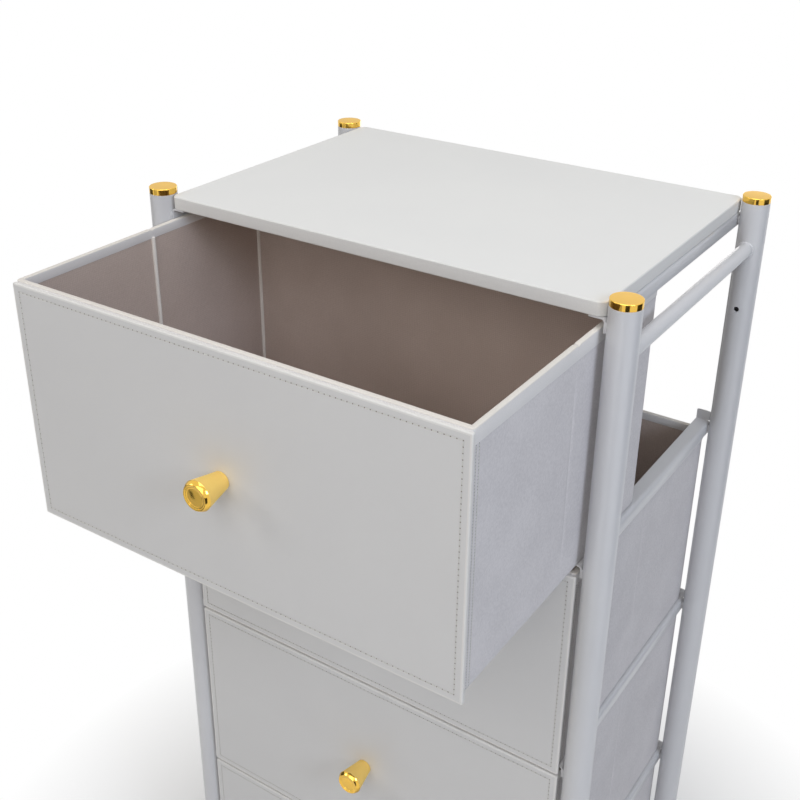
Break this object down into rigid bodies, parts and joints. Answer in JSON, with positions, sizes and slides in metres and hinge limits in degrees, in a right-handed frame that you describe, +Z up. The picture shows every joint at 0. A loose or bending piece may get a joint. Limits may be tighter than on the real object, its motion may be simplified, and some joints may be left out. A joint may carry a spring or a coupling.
{
  "type": "fabric drawer dresser",
  "caption": "Narrow dresser with a round steel-tube frame, a flat board on top, and stacked fabric drawers with stitched leather-look fronts and conical knobs that slide on angle rails.",
  "frame": {"origin": "on the floor, midway between the four posts", "axes": "+Z up, the drawers open towards -Y, +X to the right seen from the front"},
  "size_m": [0.4814, 0.5125, 0.95],
  "materials": {
    "frame_coat": "satin powder coat",
    "gold": "satin sides, polished rims",
    "foot_plastic": "matte",
    "board_paint": "painted, matte",
    "front_leather": "smooth coated, low sheen",
    "cover_fabric": "fine woven",
    "lining_fabric": "non-woven",
    "wall_card": "raw",
    "base_wood": "covered in lining cloth",
    "plain_steel": "zinc plated"
  },
  "bodies": {
    "frame": {"post_front_left": "frame_coat", "post_front_right": "frame_coat", "post_rear_left": "frame_coat", "post_rear_right": "frame_coat", "cap_front_left": "gold", "cap_front_right": "gold", "cap_rear_left": "gold", "cap_rear_right": "gold", "foot_front_left": "foot_plastic", "foot_front_right": "foot_plastic", "foot_rear_left": "foot_plastic", "foot_rear_right": "foot_plastic", "side_tube_upper_left": "frame_coat", "side_tube_upper_right": "frame_coat", "side_tube_lower_left": "frame_coat", "side_tube_lower_right": "frame_coat", "cross_bar_front": "frame_coat", "cross_bar_rear": "frame_coat", "cross_bar_bolts": "plain_steel", "cross_bar_nuts": "plain_steel", "top_rail_left": "frame_coat", "top_rail_right": "frame_coat", "drawer_rail_1_left": "frame_coat", "drawer_rail_1_right": "frame_coat", "drawer_rail_2_left": "frame_coat", "drawer_rail_2_right": "frame_coat", "drawer_rail_3_left": "frame_coat", "drawer_rail_3_right": "frame_coat", "drawer_rail_4_left": "frame_coat", "drawer_rail_4_right": "frame_coat", "top_board": "board_paint", "top_board_screws": "plain_steel"},
    "drawer_1": {"drawer_1_cover": "cover_fabric", "drawer_1_wall_boards": "wall_card", "drawer_1_lining": "lining_fabric", "drawer_1_base": "base_wood", "drawer_1_front": "front_leather", "drawer_1_knob": "gold", "drawer_1_knob_screw": "plain_steel"},
    "drawer_2": {"drawer_2_cover": "cover_fabric", "drawer_2_wall_boards": "wall_card", "drawer_2_lining": "lining_fabric", "drawer_2_base": "base_wood", "drawer_2_front": "front_leather", "drawer_2_knob": "gold", "drawer_2_knob_screw": "plain_steel"},
    "drawer_3": {"drawer_3_cover": "cover_fabric", "drawer_3_wall_boards": "wall_card", "drawer_3_lining": "lining_fabric", "drawer_3_base": "base_wood", "drawer_3_front": "front_leather", "drawer_3_knob": "gold", "drawer_3_knob_screw": "plain_steel"},
    "drawer_4": {"drawer_4_cover": "cover_fabric", "drawer_4_wall_boards": "wall_card", "drawer_4_lining": "lining_fabric", "drawer_4_base": "base_wood", "drawer_4_front": "front_leather", "drawer_4_knob": "gold", "drawer_4_knob_screw": "plain_steel"}
  },
  "joints": [
    {"name": "drawer_1_slide", "type": "slide", "parent": "frame", "child": "drawer_1", "axis": [0, -1, 0], "range_m": [-0.177, 0.053]},
    {"name": "drawer_2_slide", "type": "slide", "parent": "frame", "child": "drawer_2", "axis": [0, -1, 0], "range_m": [0, 0.23]},
    {"name": "drawer_3_slide", "type": "slide", "parent": "frame", "child": "drawer_3", "axis": [0, -1, 0], "range_m": [0, 0.23]},
    {"name": "drawer_4_slide", "type": "slide", "parent": "frame", "child": "drawer_4", "axis": [0, -1, 0], "range_m": [0, 0.23]}
  ]
}
